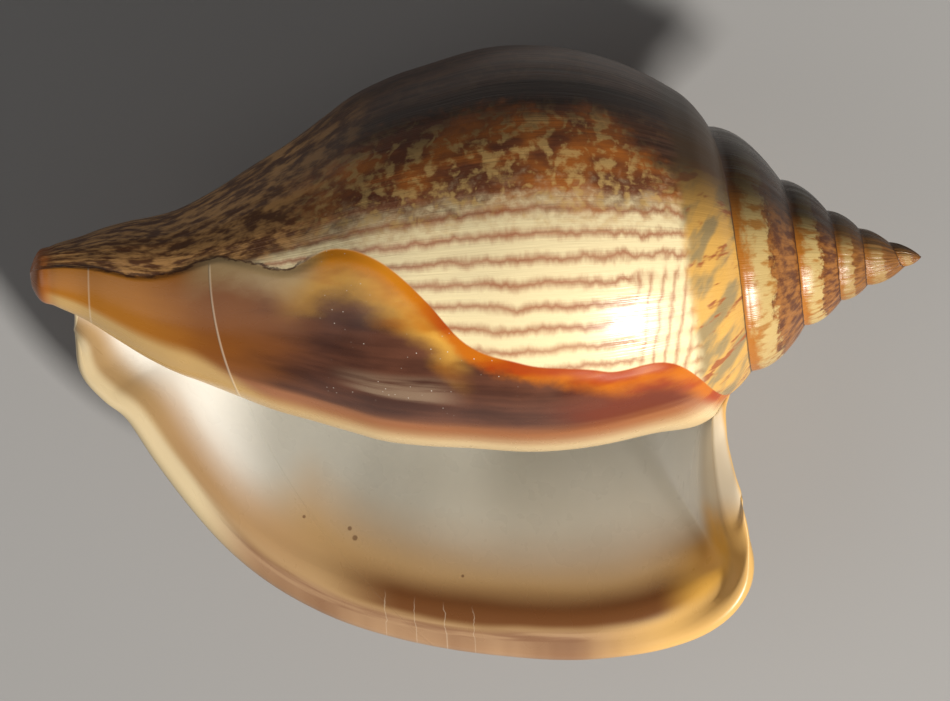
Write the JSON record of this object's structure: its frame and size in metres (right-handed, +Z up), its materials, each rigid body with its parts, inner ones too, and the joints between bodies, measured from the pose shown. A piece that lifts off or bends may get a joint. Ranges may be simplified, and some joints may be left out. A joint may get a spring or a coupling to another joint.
{
  "type": "seashell",
  "caption": "Adult strombus vanikorensis seashell lying on its back, with a pointed spire, a flared lip and an open aperture",
  "frame": {"origin": "bottom centre of the bounding box, on the small flat spot that the shell rests on", "axes": "+Z up out of the aperture side, +X along the coil axis to the spire's tip, -Y towards the outer lip"},
  "size_m": [0.055, 0.0384, 0.0279],
  "materials": {
    "shell": "polished shell, striped brown on cream, with a white aperture"
  },
  "bodies": {
    "root": {"shell": "shell"}
  },
  "joints": []
}
